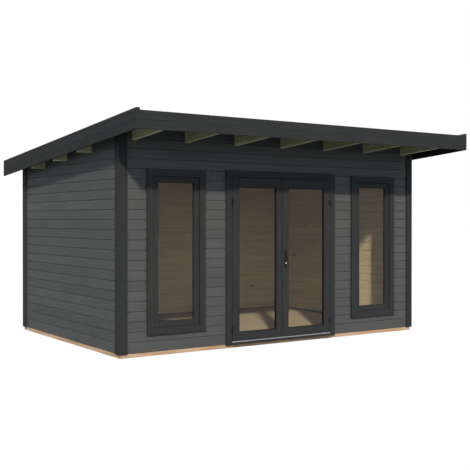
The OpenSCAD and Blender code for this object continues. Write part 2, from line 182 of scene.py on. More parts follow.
paintedGrain = {
    "knotSpread": (3.2, 7.0, 0.0), "knotRare": 0.7, "knotSize": 0.09, "knotShow": 0.3, "rings": 16.0,
    "fibres": 80.0, "streak": 0.6, "spread": 0.05, "cloud": 0.06, "shine": 0.02, "bump": 0.22}
planedGrain = {
    "knotSpread": (2.8, 6.0, 0.0), "knotRare": 0.75, "knotSize": 0.075, "rings": 9.0,
    "fibres": 60.0, "streak": 0.15, "spread": 0.06, "cloud": 0.04, "rough": 0.6, "shine": 0.15, "bump": 0.12}
sawnGrain = {
    "knotSpread": (3.4, 8.0, 0.0), "knotRare": 0.7, "knotSize": 0.09, "knotShow": 0.8, "rings": 12.0,
    "fibres": 60.0, "streak": 0.4, "spread": 0.08, "cloud": 0.08, "rough": 0.65, "shine": 0.15, "bump": 0.22}

wallPaint = timber("grey wall paint", paintedGrain | {
    "early": rgb(0.095, 0.0932, 0.0888), "late": rgb(0.0825, 0.0813, 0.0775),
    "knot": rgb(0.064, 0.063, 0.060), "knotSpread": (3.4, 7.0, 0.0), "knotSize": 0.10, "knotShow": 0.35,
    "fibres": 70.0, "cloud": 0.05, "rough": 0.74, "shine": 0.04, "bump": 0.28})
darkPaint = timber("dark trim paint", paintedGrain | {
    "early": rgb(0.0395, 0.0390, 0.0380), "late": rgb(0.0342, 0.0337, 0.0330),
    "knot": rgb(0.027, 0.0265, 0.026), "rough": 0.66})
# the dark trim paint made a little darker for the roof edge boards: painted shade
shadedFasciaPaint = timber("roof edge paint with painted shade", paintedGrain | {
    "early": rgb(0.0368, 0.0363, 0.0357), "late": rgb(0.0319, 0.0315, 0.0310),
    "knot": rgb(0.024, 0.0236, 0.0232), "rough": 0.7})
insidePine = timber("planed pine", planedGrain | {
    "early": rgb(0.640, 0.488, 0.290), "late": rgb(0.592, 0.440, 0.254), "knot": rgb(0.17, 0.085, 0.04),
    "knotRare": 0.5, "knotSize": 0.105, "knotShow": 0.85, "spread": 0.07})
floorPine = timber("floor pine", planedGrain | {
    "early": rgb(0.52, 0.405, 0.265), "late": rgb(0.455, 0.345, 0.215), "knot": rgb(0.17, 0.085, 0.043),
    "knotShow": 0.8, "rough": 0.55, "shine": 0.2})
# a real skirting strip, toned dark as painted shade where the walls meet the floor
shadedSkirtPine = timber("skirting pine with painted shade", planedGrain | {
    "early": rgb(0.205, 0.145, 0.083), "late": rgb(0.165, 0.113, 0.062), "knot": rgb(0.08, 0.045, 0.022),
    "knotShow": 0.6, "streak": 0.2})
basePine = timber("base pine", sawnGrain | {
    "early": rgb(0.62, 0.41, 0.26), "late": rgb(0.49, 0.298, 0.17), "knot": rgb(0.2, 0.09, 0.045),
    "knotSpread": (3.6, 9.0, 0.0), "fibres": 65.0, "spread": 0.1,
    "rough": 0.68, "shine": 0.12, "bump": 0.25})
greenPine = timber("green pine", sawnGrain | {
    "early": rgb(0.57, 0.565, 0.305), "late": rgb(0.44, 0.425, 0.22), "knot": rgb(0.11, 0.075, 0.042)})
# nearly black: painted shade of the roof's underside between the rafters
shadedDeckPine = timber("roof boards with painted shade", sawnGrain | {
    "early": rgb(0.058, 0.056, 0.036), "late": rgb(0.040, 0.038, 0.024), "knot": rgb(0.022, 0.018, 0.012),
    "spread": 0.12, "rough": 0.7, "shine": 0.05})


# felt, metal, rubber and glass

feltFinish = {
    "dark": rgb(0.035, 0.036, 0.038), "light": rgb(0.105, 0.105, 0.108), "weathered": rgb(0.12, 0.12, 0.115),
    "weatherScale": 2.2, "weatherDetail": 5.0, "weatherSpan": (0.35, 0.75), "weather": 0.35,
    "gritScale": 420.0, "rough": 0.95, "shine": 0.2, "bump": 0.5, "depth": 0.0008}


def roofFelt(look):
    material, tree, shader = startMaterial("mineral felt", {
        "Roughness": look["rough"], "Specular IOR Level": look["shine"]})
    place = objectPlace(tree)
    grit = addNode(tree, "ShaderNodeTexVoronoi", {"Vector": place, "Scale": look["gritScale"]})
    gritTone = firstChannel(tree, grit.outputs["Color"])
    weather = noise(tree, place, look["weatherScale"], look["weatherDetail"]).outputs[0]
    colour = blendColour(tree, gritTone, look["dark"], look["light"])
    share = remap(tree, weather, look["weatherSpan"], 0.0, look["weather"])
    tree.links.new(blendColour(tree, share, colour, look["weathered"]), shader.inputs["Base Color"])
    bumpFrom(tree, shader, gritTone, look["bump"], look["depth"])
    return material


brushLook = {
    "lineScale": 90.0, "lineDetail": 4.0, "smearScale": 7.0, "smearDetail": 3.0, "span": (0.3, 0.7),
    "roughSpread": 0.08, "depth": 0.0002}
evenBrush = (1.0, 1.0, 1.0)


def smoothFinish(name, look):
    material, tree, shader = startMaterial(name, {
        "Metallic": look["metallic"], "Specular IOR Level": look["shine"]})
    brushed = stretched(tree, objectPlace(tree), look["brush"])
    lines = noise(tree, brushed, brushLook["lineScale"], brushLook["lineDetail"]).outputs[0]
    smear = noise(tree, objectPlace(tree), brushLook["smearScale"], brushLook["smearDetail"]).outputs[0]
    colour = blendColour(tree, remap(tree, smear, brushLook["span"]), look["dark"], look["light"])
    tree.links.new(colour, shader.inputs["Base Color"])
    low, high = look["rough"] - brushLook["roughSpread"], look["rough"] + brushLook["roughSpread"]
    tree.links.new(remap(tree, lines, brushLook["span"], low, high), shader.inputs["Roughness"])
    bumpFrom(tree, shader, lines, look["bump"], brushLook["depth"])
    return material


glassLook = {
    "tint": rgb(0.95, 0.97, 0.955), "lampTint": rgb(0.96, 0.97, 0.96), "ior": 1.25,
    "hazeScale": 3.0, "hazeDetail": 4.0, "hazeSpan": (0.3, 0.7), "haze": 0.03}


def windowGlass(look):
    material, tree, shader = startMaterial("pane glass", {
        "Base Color": look["tint"], "Transmission Weight": 1.0, "IOR": look["ior"]})
    haze = noise(tree, objectPlace(tree), look["hazeScale"], look["hazeDetail"]).outputs[0]
    tree.links.new(remap(tree, haze, look["hazeSpan"], 0.0, look["haze"]), shader.inputs["Roughness"])
    # light that falls into the room passes straight through
    lampWay = addNode(tree, "ShaderNodeBsdfTransparent", {"Color": look["lampTint"]}).outputs[0]
    path = addNode(tree, "ShaderNodeLightPath")
    share = maths(tree, "MAXIMUM", path.outputs["Is Shadow Ray"], path.outputs["Is Diffuse Ray"])
    mix = addNode(tree, "ShaderNodeMixShader", {0: share, 1: shader.outputs[0], 2: lampWay})
    tree.links.new(mix.outputs[0], tree.nodes["Material Output"].inputs["Surface"])
    return material


felt = roofFelt(feltFinish)
thresholdMetal = smoothFinish("threshold aluminium", {
    "light": rgb(0.44, 0.44, 0.45), "dark": rgb(0.37, 0.37, 0.38),
    "rough": 0.45, "metallic": 0.45, "brush": (0.05, 1.0, 1.0), "bump": 0.2, "shine": 0.5})
darkMetal = smoothFinish("dark coated metal", {
    "light": rgb(0.013, 0.013, 0.0135), "dark": rgb(0.009, 0.009, 0.0095),
    "rough": 0.5, "metallic": 0.1, "brush": evenBrush, "bump": 0.12, "shine": 0.12})
leverMetal = smoothFinish("lever bronze", {
    "light": rgb(0.060, 0.048, 0.036), "dark": rgb(0.045, 0.036, 0.027),
    "rough": 0.45, "metallic": 0.3, "brush": (0.1, 1.0, 1.0), "bump": 0.1, "shine": 0.2})
# black for the keyways: painted shade of the key holes
keywayShade = smoothFinish("keyway painted shade", {
    "light": rgb(0.010, 0.010, 0.011), "dark": rgb(0.006, 0.006, 0.007),
    "rough": 0.6, "metallic": 0.2, "brush": evenBrush, "bump": 0.05, "shine": 0.5})
# black rubber round the door panes; on the door casing's inner edges this black is painted shade in the seam
# round the leaves
gasketAndSeamShade = smoothFinish("glazing gasket and painted seam shade", {
    "light": rgb(0.012, 0.012, 0.012), "dark": rgb(0.008, 0.008, 0.008),
    "rough": 0.7, "metallic": 0.0, "brush": evenBrush, "bump": 0.05, "shine": 0.05})
lockSteel = smoothFinish("lock steel", {
    "light": rgb(0.90, 0.89, 0.87), "dark": rgb(0.80, 0.79, 0.77),
    "rough": 0.34, "metallic": 0.55, "brush": (1.0, 1.0, 0.2), "bump": 0.1, "shine": 0.5})
screwSteel = smoothFinish("dark screw steel", {
    "light": rgb(0.075, 0.075, 0.075), "dark": rgb(0.05, 0.05, 0.05),
    "rough": 0.45, "metallic": 0.7, "brush": evenBrush, "bump": 0.1, "shine": 0.5})
glass = windowGlass(glassLook)
print("finishes ready")


# mesh helpers

meshLook = {
    "grainSpread": 40.0,  # each board's grain is cut from its own place in a block of this size
    "digits": 5, "weld": 1e-6, "flat": 0.5, "sliver": 2e-5,  # what counts as one point, one face or no face
    "round": 0.5}  # profile of a rounded edge
closeTo = 0.001


def newPiece():
    return {"points": [], "places": [], "faces": [], "tones": [], "kinds": []}


def grainAxes(points):
    spans = [max(p[i] for p in points) - min(p[i] for p in points) for i in range(3)]
    return sorted(range(3), key=lambda i: -spans[i])  # length, width, depth of the board


def newGrain():  # a board's tone and the place that it was cut from
    return dice.random(), [dice.uniform(0.0, meshLook["grainSpread"]) for _ in range(3)]


def addFaces(piece, points, faces, kind=0, axes=None, grain=None):
    axes = axes or grainAxes(points)
    tone, shift = grain or newGrain()
    start = len(piece["points"])
    for p in points:
        piece["points"].append(tuple(p))
        piece["places"].append([p[a] + s for a, s in zip(axes, shift)])
    for face in faces:
        piece["faces"].append([start + i for i in face])
        piece["tones"].append(tone)
        piece["kinds"].append(kind(face, points) if callable(kind) else kind)


def addBmesh(piece, bm, kind=0, axes=None):
    bm.verts.index_update()
    points = [v.co.copy() for v in bm.verts]
    addFaces(piece, points, [[v.index for v in f.verts] for f in bm.faces], kind, axes)
    bm.free()


def joinSolids(solids):  # each solid is its points and faces, and all faces end up looking out
    bm = bmesh.new()
    for points, faces in solids:
        made = [bm.verts.new(p) for p in points]
        for face in faces:
            bm.faces.new([made[i] for i in face])
    bmesh.ops.recalc_face_normals(bm, faces=bm.faces)
    return bm


def roundEdges(bm, edges, width, segments=2, clamp=False):
    bmesh.ops.bevel(bm, geom=edges, offset=width, segments=segments, profile=meshLook["round"],
                    affect="EDGES", clamp_overlap=clamp)


hexaFaces = ((0, 2, 3, 1), (4, 5, 7, 6), (0, 1, 5, 4), (2, 6, 7, 3), (0, 4, 6, 2), (1, 3, 7, 5))


def addHexa(piece, corners, edge, kind=0, segments=2, axes=None):
    bm = joinSolids([(corners, hexaFaces)])
    roundEdges(bm, bm.edges[:], edge, segments)
    addBmesh(piece, bm, kind, axes)


def boxCorners(low, high):
    xs, ys, zs = zip(low, high)
    return [Vector((x, y, z)) for x in xs for y in ys for z in zs]


def solidsOf(node):  # the points of each separate solid of a CAD node
    mesh = nodes[node].data
    keys = [tuple(round(c, meshLook["digits"]) for c in v.co) for v in mesh.vertices]
    group = {k: k for k in keys}

    def root(k):
        while group[k] != k:
            group[k] = group[group[k]]
            k = group[k]
        return k

    for polygon in mesh.polygons:
        first = root(keys[polygon.vertices[0]])
        for i in polygon.vertices:
            group[root(keys[i])] = first
    solids = {}
    for k in group:
        solids.setdefault(root(k), []).append(Vector(k))
    return sorted(solids.values(), key=lambda ps: tuple(min(p[i] for p in ps) for i in range(3)))


def boxOf(points):
    return (Vector([min(p[i] for p in points) for i in range(3)]),
            Vector([max(p[i] for p in points) for i in range(3)]))


def cornersOf(points):  # the real corners of a six-sided solid
    return [min(points, key=lambda p: (p - c).length) for c in boxCorners(*boxOf(points))]


def middleOf(face, points, axis):
    return sum(points[i][axis] for i in face) / len(face)


def finishPiece(piece, name, finishes, body, replaced=(), smooth=None):
    mesh = bpy.data.meshes.new(name)
    mesh.from_pydata(piece["points"], [], piece["faces"])
    for finish in finishes:
        mesh.materials.append(finish)
    mesh.polygons.foreach_set("material_index", piece["kinds"])
    places = mesh.attributes.new("woodPlace", "FLOAT_VECTOR", "POINT")
    places.data.foreach_set("vector", [c for p in piece["places"] for c in p])
    tones = mesh.attributes.new("boardTone", "FLOAT", "FACE")
    tones.data.foreach_set("value", piece["tones"])
    if smooth:
        mesh.shade_smooth()
        mesh.set_sharp_from_angle(angle=math.radians(smooth))
    mesh.update()
    obj = bpy.data.objects.new(name, mesh)
    bpy.context.scene.collection.objects.link(obj)
    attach(obj, body)
    if replaced:
        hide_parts(*replaced)
    return obj


def easedBoards(name, source, edge, finish, body="shed"):  # CAD boards with worn edges
    piece = newPiece()
    for node in source:
        for points in solidsOf(node):
            addHexa(piece, cornersOf(points), edge)
    return finishPiece(piece, name, [finish], body, source)


# closed solids and what is cut out of them

def prism(profile, along, start, end):  # profile points are (depth, height) pairs
    def place(depth, height, run):
        return Vector((run, depth, height)) if along == 0 else Vector((depth, run, height))

    count = len(profile)
    points = [place(d, z, run) for run in (start, end) for d, z in profile]
    walls = [[i, (i + 1) % count, (i + 1) % count + count, i + count] for i in range(count)]
    return points, walls + [list(range(count))[::-1], list(range(count, 2 * count))]


def helperObject(solids):
    mesh = bpy.data.meshes.new("helper")
    bm = joinSolids(solids)
    bm.to_mesh(mesh)
    bm.free()
    helper = bpy.data.objects.new("helper", mesh)
    bpy.context.scene.collection.objects.link(helper)
    return helper


def cutOut(solids, cutterGroups):  # what the cutters leave of the solids
    body = helperObject(solids)
    helpers = [helperObject(group) for group in cutterGroups]
    for helper in helpers:
        cut = body.modifiers.new("cut", "BOOLEAN")
        cut.object = helper
        cut.operation = "DIFFERENCE"
        cut.solver = "EXACT"
    bpy.context.view_layer.update()
    result = bpy.data.meshes.new_from_object(body.evaluated_get(bpy.context.evaluated_depsgraph_get()))
    left = bmesh.new()
    left.from_mesh(result)
    spare = [result] + [helper.data for helper in [body] + helpers]
    for helper in [body] + helpers:
        bpy.data.objects.remove(helper)
    for mesh in spare:
        bpy.data.meshes.remove(mesh)
    return left


def islandsOf(whole):  # the separate solids of a bmesh, each as its points and faces
    whole.faces.index_update()
    islands, seen = [], set()
    for first in whole.faces:
        island, queue = [], [first]
        while queue:
            face = queue.pop()
            if face not in seen:
                seen.add(face)
                island.append(face)
                queue += [f for e in face.edges for f in e.link_faces]
        if island:
            island.sort(key=lambda face: face.index)
            index = {}
            for face in island:
                for v in face.verts:
                    index.setdefault(v, len(index))
            faces = [[index[v] for v in face.verts] for face in island]
            islands.append(([v.co.copy() for v in index], faces))
    whole.free()
    return islands


def weldedNode(node):  # a CAD node with its triangles joined into flat faces
    bm = bmesh.new()
    bm.from_mesh(nodes[node].data)
    bmesh.ops.remove_doubles(bm, verts=bm.verts, dist=meshLook["weld"])
    flat = math.radians(meshLook["flat"])
    bmesh.ops.dissolve_limit(bm, angle_limit=flat, verts=bm.verts, edges=bm.edges)
    return bm


# the roof's slope, read from the deck

deckPoints = solidsOf("roof_deck")[0]
deckLow, deckHigh = boxOf(deckPoints)
deckFront = min(p.z for p in deckPoints if p.y < deckLow.y + closeTo)
deckBack = min(p.z for p in deckPoints if p.y > deckHigh.y - closeTo)
roofFall = (deckFront - deckBack) / (deckHigh.y - deckLow.y)


def roofUnder(y):
    return deckFront - (y - deckLow.y) * roofFall


# walls of horizontal boards with tongue and groove, painted outside and bare inside

wallLook = {
    "cover": 0.114, "firstJoint": 0.1646,  # board height and the first joint over the ground
    "grooveHeight": 0.0058, "grooveDepth": 0.0052,  # chamfer of each board edge
    "slot": 0.0020, "tongue": 0.009, "play": 0.0005,
    "tongueFrom": 0.36, "tongueTo": 0.64, "paint": 0.55,  # shares of the thickness
    "seat": 0.0003}  # room under the roof deck


def boardOutline(bottom, top, thick, isFirst):
    rise, sink, play = wallLook["grooveHeight"], wallLook["grooveDepth"], wallLook["play"]
    near, far = thick * wallLook["tongueFrom"], thick * wallLook["tongueTo"]
    tip = top + wallLook["tongue"]
    outline = [(sink, bottom), (0, bottom + rise), (0, top - rise), (sink, top),
               (near, top), (near, tip), (far, tip), (far, top),
               (thick - sink, top), (thick, top - rise), (thick, bottom + rise), (thick - sink, bottom)]
    if not isFirst:
        crown = bottom + wallLook["tongue"] - wallLook["slot"] + play
        outline += [(far + play, bottom), (far + play, crown), (near - play, crown), (near - play, bottom)]
    return outline


def boardWall(name, source, along, outside, cutterGroups):
    boxes = [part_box(node) for node in source]
    low = Vector([min(b[0][i] for b in boxes) for i in range(3)])
    high = Vector([max(b[1][i] for b in boxes) for i in range(3)])
    depth = 1 - along
    outer, inner = (low[depth], high[depth]) if outside < 0 else (high[depth], low[depth])
    inward, thick = (1 if inner > outer else -1), abs(inner - outer)
    firstJoint, cover, half = wallLook["firstJoint"], wallLook["cover"], wallLook["slot"] / 2
    rows = math.ceil((high.z - firstJoint) / cover) + 1
    solids = []
    for row in range(rows):
        joint = firstJoint + row * cover
        bottom = joint - cover + half if row else low.z
        outline = boardOutline(bottom, joint - half, thick, row == 0)
        solids.append(prism([(outer + inward * d, z) for d, z in outline], along, low[along], high[along]))
    grains = [newGrain() for _ in range(rows)]  # all parts of one board share its tone and grain

    def paintedOrBare(face, points):
        return 0 if abs(middleOf(face, points, depth) - outer) < thick * wallLook["paint"] else 1

    piece = newPiece()
    for points, faces in islandsOf(cutOut(solids, cutterGroups)):
        row = math.floor((min(p.z for p in points) - firstJoint) / cover) + 1
        grain = grains[min(max(row, 0), rows - 1)]
        addFaces(piece, points, faces, paintedOrBare, [along, 2, depth], grain)
    return finishPiece(piece, name, [wallPaint, insidePine], "shed", source)


# how far an opening runs past the wall, a notch past the roof and the roof's cut past the deck
cutterLook = {"through": 0.2, "above": 0.5, "around": 1.0}


def opening(low, high, below=0.0):
    through = Vector((0, cutterLook["through"], 0))
    return boxCorners(low - through - Vector((0, 0, below)), high + through), hexaFaces


def notch(points):  # room for a beam, open at the top
    lift = Vector((0, 0, cutterLook["above"]))
    return [c + lift if n % 2 else c for n, c in enumerate(cornersOf(points))], hexaFaces


def overRoof():
    around = Vector((cutterLook["around"], cutterLook["around"], 0))
    low, high = deckLow - around, deckHigh + around
    corners = boxCorners((low.x, low.y, 0), (high.x, high.y, cutterLook["above"]))
    return [Vector((c.x, c.y, c.z + roofUnder(c.y) - wallLook["seat"])) for c in corners], hexaFaces


doorLow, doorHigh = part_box("door_frame")
openings = [opening(*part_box(n)) for n in ("left_window_frame", "right_window_frame")]
openings.append(opening(doorLow, doorHigh, cutterLook["through"]))
rafterNotches = [notch(p) for p in solidsOf("front_rafters")]
purlinNotches = [notch(p) for p in solidsOf("purlins")]
roofCut = [overRoof()]
boardWall("front_wall_boards", ["front_wall_left", "front_wall_right", "front_wall_over_door"], 0, -1,
          [openings, rafterNotches, roofCut])
boardWall("back_wall_boards", ["back_wall"], 0, 1, [roofCut])
boardWall("left_wall_boards", ["left_wall"], 1, -1, [purlinNotches, roofCut])
boardWall("right_wall_boards", ["right_wall"], 1, 1, [purlinNotches, roofCut])
print("wall boards built")


# base, roof frame and trims: the CAD boards with eased edges

easeLook = {"rough": 0.002, "trim": 0.0025, "fascia": 0.0014, "joinery": 0.0018}

easedBoards("base_beams", ["base_beam_front", "base_beam_back"], easeLook["rough"], basePine)
easedBoards("joists", ["floor_joists"], easeLook["rough"], basePine)
easedBoards("roof_rafters", ["front_rafters"], easeLook["rough"], greenPine)
easedBoards("roof_purlins", ["purlins"], easeLook["rough"], greenPine)


def darkBoards(name, node, kind, body="shed"):
    paint = shadedFasciaPaint if kind == "fascia" else darkPaint
    easedBoards(name, [node], easeLook[kind], paint, body)


for corner in houseCorners:
    darkBoards("corner_boards_" + corner, "corner_trim_" + corner, "trim")
for end in ("front", "back", "left", "right"):
    darkBoards("fascia_boards_" + end, end + "_fascia", "fascia")
for side in sides:
    darkBoards("verge_capping_" + side, side + "_verge_strip", "trim")
    darkBoards("window_casing_" + side, side + "_window_casing", "joinery")

seamShadeLook = {"near": 0.0001}  # how close to the casing's inner edge a face takes the painted seam shade


def seamShadedCasing():  # the edges towards the leaves are painted black: painted shade in the seam round the leaves
    piece = newPiece()
    for points in solidsOf("door_casing"):
        low, high = boxOf(points)
        axis, edge = (2, low.z) if low.x < 0 < high.x else (0, low.x if low.x > 0 else high.x)

        def paintOrSeamShade(face, corners):
            return 1 if abs(middleOf(face, corners, axis) - edge) < seamShadeLook["near"] else 0

        addHexa(piece, cornersOf(points), easeLook["joinery"], paintOrSeamShade)
    finishes = [darkPaint, gasketAndSeamShade]
    return finishPiece(piece, "door_casing_boards", finishes, "shed", ["door_casing"])


seamShadedCasing()
for part in ("door_stops", "door_sill", "door_frame"):
    darkBoards(part + "_boards", part, "joinery")
for side in sides:
    darkBoards("door_rails_" + side, side + "_door_leaf", "joinery", side + "_door")
    darkBoards("sash_rails_" + side, side + "_window_sash", "joinery")
print("eased boards built")


# rebated window frames, whose corners aren't a plain board's

def rebatedFrame(side):
    node = side + "_window_frame"
    piece = newPiece()
    for solid in islandsOf(weldedNode(node)):
        bm = joinSolids([solid])
        roundEdges(bm, bm.edges[:], easeLook["joinery"], clamp=True)
        bmesh.ops.dissolve_degenerate(bm, dist=meshLook["sliver"], edges=bm.edges)
        addBmesh(piece, bm)
    return finishPiece(piece, "window_frame_" + side, [darkPaint], "shed", [node])


for side in sides:
    rebatedFrame(side)


# a dark tongue closes the joint between two fascia boards

# thick is a share of the board's thickness, and hold the reach into each board
tongueLook = {"thick": 0.8, "hold": 0.004, "edge": 0.0005}


def fasciaTongue(end):
    boards = sorted(solidsOf(end + "_fascia"), key=lambda ps: max(p.z for p in ps))
    upper, lower = cornersOf(boards[1]), cornersOf(boards[0])
    joint = upper[0].z - lower[1].z
    thin = grainAxes(boards[0])[2]
    low, high = boxOf(boards[1])
    middle, half = (low[thin] + high[thin]) / 2, (high[thin] - low[thin]) * tongueLook["thick"] / 2
    corners = []
    for n, corner in enumerate(boxCorners((0, 0, 0), (1, 1, 1))):
        place = upper[n - n % 2].copy()  # the upper board's lower corner on this side
        place[thin] = middle + (half if corner[thin] else -half)
        place.z += tongueLook["hold"] if corner.z else -joint - tongueLook["hold"]
        corners.append(place)
    piece = newPiece()
    addHexa(piece, corners, tongueLook["edge"], segments=1)
    return finishPiece(piece, "fascia_tongue_" + end, [shadedFasciaPaint], "shed")


for end in ("front", "left", "right"):
    fasciaTongue(end)
print("window frames and fascia tongues built")


# floor and roof deck boards

def boardRuns(low, high, look):  # start and end of each board, side by side
    count = round((high - low) / look["cover"])
    step = (high - low) / count
    for i in range(count):
        start = low + i * step + (look["gap"] / 2 if i else 0)
        yield start, low + (i + 1) * step - (look["gap"] / 2 if i < count - 1 else 0)


floorLook = {"cover": 0.096, "gap": 0.0012, "edge": 0.0015}


def floorBoards():
    low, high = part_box("floor")
    piece = newPiece()
    for start, end in boardRuns(low.y, high.y, floorLook):
        board = boxCorners((low.x, start, low.z), (high.x, end, high.z))
        addHexa(piece, board, floorLook["edge"], axes=[0, 1, 2])
    return finishPiece(piece, "floor_boards", [floorPine], "shed", ["floor"])


deckLook = {"cover": 0.096, "gap": 0.0012, "edge": 0.003}


def deckBoards():
    corners = cornersOf(deckPoints)
    left, right = corners[:4], corners[4:]
    piece = newPiece()
    for start, end in boardRuns(deckLow.x, deckHigh.x, deckLook):
        board = [Vector((start, c.y, c.z)) for c in left] + [Vector((end, c.y, c.z)) for c in right]
        addHexa(piece, board, deckLook["edge"], segments=1, axes=[1, 0, 2])
    return finishPiece(piece, "deck_boards", [shadedDeckPine], "shed", ["roof_deck"])


skirtLook = {"height": 0.026, "thick": 0.012, "edge": 0.003}


def skirting():  # a strip along the foot of each wall, left out at the doorway
    low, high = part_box("floor")
    top, thick = high.z + skirtLook["height"], skirtLook["thick"]
    left, right = low.x + thick, high.x - thick
    runs = [((low.x, low.y), (left, high.y)), ((right, low.y), (high.x, high.y)),
            ((left, high.y - thick), (right, high.y)),
            ((left, low.y), (doorLow.x, low.y + thick)), ((doorHigh.x, low.y), (right, low.y + thick))]
    piece = newPiece()
    for start, end in runs:
        addHexa(piece, boxCorners((*start, high.z), (*end, top)), skirtLook["edge"])
    return finishPiece(piece, "skirting_strips", [shadedSkirtPine], "shed")


floorBoards()
deckBoards()
skirting()
print("floor, deck boards and skirting built")


# roofing felt in lapped sheets

feltLook = {"sheets": 4, "lap": 0.09, "thick": 0.002, "rise": 0.02}  # rise: half the run of a lap's step


def feltSheets():
    corners = cornersOf(solidsOf("roofing_felt")[0])
    low, high = boxOf(corners)
    topFront = max(c.z for c in corners if c.y < low.y + closeTo)
    thick, lap, rise = feltLook["thick"], feltLook["lap"], feltLook["rise"]
    step = (high.y - low.y) / feltLook["sheets"]
    piece = newPiece()
    for i in range(feltLook["sheets"]):
        start = low.y + i * step
        end = min(high.y, start + step + lap)
        # each sheet lies on the lower one at its back edge
        rows = [(start, False), (end - lap - rise, False), (end - lap + rise, True), (end, True)]
        if i == feltLook["sheets"] - 1:
            rows = [(start, False), (end, False)]
        points, faces = [], []
        for y, raised in rows:
            z = topFront - (y - low.y) * roofFall - (0 if raised else thick)
            points += [Vector((x, y, h)) for x in (low.x, high.x) for h in (z - thick, z)]
        for n in range(len(rows) - 1):
            a, b = 4 * n, 4 * n + 4  # each row has four points
            faces += [[a + 1, a + 3, b + 3, b + 1], [a, b, b + 2, a + 2],
                      [a, a + 1, b + 1, b], [a + 2, b + 2, b + 3, a + 3]]
        last = len(points) - 4
        faces += [[0, 2, 3, 1], [last, last + 1, last + 3, last + 2]]
        addFaces(piece, points, faces, axes=[0, 1, 2])
    return finishPiece(piece, "felt_sheets", [felt], "shed", ["roofing_felt"])


feltSheets()
print("roofing felt laid")


# glass and its glazing beads

beadLook = {
    "door": (0.006, 0.014), "window": (0.003, 0.005),  # width and depth of each strip
    "slope": 0.6, "edge": 0.0006}


def beadRing(piece, low, high, face, out, kind):  # four mitred strips on one face of a pane
    def ring(inset, y):
        left, right, foot, head = low.x + inset, high.x - inset, low.z + inset, high.z - inset
        return [Vector((x, y, z)) for x, z in ((left, foot), (right, foot), (right, head), (left, head))]

    width, depth = beadLook[kind]
    far = face + out * depth
    rings = (ring(0, face), ring(0, far), ring(width, face), ring(width * beadLook["slope"], far))
    for i in range(4):
        j = (i + 1) % 4
        addHexa(piece, [r[n] for r in rings for n in (i, j)], beadLook["edge"], segments=1)


stripLook = {"setBack": 0.002, "edge": 0.0005}


def weatherStrip(piece, side):  # closes the gap under a window sash
    sashLow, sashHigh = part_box(side + "_window_sash")
    sill = min(boxOf(p)[1].z for p in solidsOf(side + "_window_casing"))
    low = (sashLow.x, sashLow.y + stripLook["setBack"], sill)
    addHexa(piece, boxCorners(low, (sashHigh.x, sashHigh.y, sashLow.z)), stripLook["edge"], segments=1)


def glazing(side, kind, body):
    pane = nodes[side + "_" + kind + "_glass"]
    pane.data.materials.clear()
    pane.data.materials.append(glass)
    paneLow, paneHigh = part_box(pane.name)
    members = [boxOf(p) for p in solidsOf(side + ("_door_leaf" if kind == "door" else "_window_sash"))]
    middle = (paneLow + paneHigh) / 2
    low, high = paneLow.copy(), paneHigh.copy()
    for memberLow, memberHigh in members:  # the opening between the stiles and rails
        if memberHigh.x < middle.x:
            low.x = memberHigh.x
        elif memberLow.x > middle.x:
            high.x = memberLow.x
        elif memberHigh.z < middle.z:
            low.z = memberHigh.z
        else:
            high.z = memberLow.z
    piece = newPiece()
    beadRing(piece, low, high, paneLow.y, -1, kind)
    beadRing(piece, low, high, paneHigh.y, 1, kind)
    if kind == "door":
        finishPiece(piece, side + "_door_gaskets", [gasketAndSeamShade], body)
    else:
        weatherStrip(piece, side)
        finishPiece(piece, side + "_window_beads", [darkPaint], body)


for side in sides:
    glazing(side, "door", side + "_door")
    glazing(side, "window", "shed")
print("panes glazed")


# threshold with ribs, hinges, handle and lock

thresholdLook = {"ribs": 6, "rib": 0.004, "sink": 0.0014, "slope": 0.001, "margin": 0.01, "nose": 0.003}


def ribbedThreshold():
    low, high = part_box("threshold")
    rib, slope, margin = thresholdLook["rib"], thresholdLook["slope"], thresholdLook["margin"]
    nose, floor = thresholdLook["nose"], high.z - thresholdLook["sink"]
    profile = [(low.y, low.z), (low.y, high.z - nose), (low.y + nose, high.z)]
    step = (high.y - low.y - 2 * margin) / thresholdLook["ribs"]
    for i in range(thresholdLook["ribs"]):
        y = low.y + margin + i * step
        profile += [(y, high.z), (y + slope, floor), (y + rib, floor), (y + rib + slope, high.z)]
    profile += [(high.y, high.z), (high.y, low.z)]
    piece = newPiece()
    addBmesh(piece, joinSolids([prism(profile, 0, low.x, high.x)]), axes=[0, 1, 2])
    return finishPiece(piece, "threshold_strip", [thresholdMetal], "shed", ["threshold"])


ribbedThreshold()

metalLook = {
    "handleEdge": 0.0015, "lockEdge": 0.0012, "hingeEdge": 0.0006,
    "rimAngle": 40, "smoothAngle": 32,  # sharper edges are rounded, and flatter ones are shaded smooth
    "plate": 0.0085, "slotWide": 0.0016, "slotHigh": 0.009, "slotDeep": 0.0006, "slotEdge": 0.0001}
leafLow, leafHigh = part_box("right_door_leaf")


def easedMetal(name, node, edge, finishes, body, kind=0):  # a metal piece with its rims rounded
    bm = weldedNode(node)
    sharp = math.radians(metalLook["rimAngle"])
    rims = [e for e in bm.edges if len(e.link_faces) == 2 and e.calc_face_angle() > sharp]
    roundEdges(bm, rims, edge, clamp=True)
    piece = newPiece()
    addBmesh(piece, bm, kind)
    return finishPiece(piece, name, finishes, body, [node], metalLook["smoothAngle"])


def plateOrLever(face, points):
    middle = middleOf(face, points, 1)
    return 1 if middle < leafLow.y - metalLook["plate"] or middle > leafHigh.y + metalLook["plate"] else 0


# black boxes in both lock faces: painted shade of the keyways
def keySlots():
    low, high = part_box("lock_cylinder")
    x, z = (low.x + high.x) / 2, (low.z + high.z) / 2
    wide, tall, deep = metalLook["slotWide"] / 2, metalLook["slotHigh"] / 2, metalLook["slotDeep"]
    piece = newPiece()
    for y in (low.y - deep / 2, high.y - deep / 2):
        corners = boxCorners((x - wide, y, z - tall), (x + wide, y + deep, z + tall))
        addHexa(piece, corners, metalLook["slotEdge"], segments=1)
    return finishPiece(piece, "key_slots", [keywayShade], "right_door")


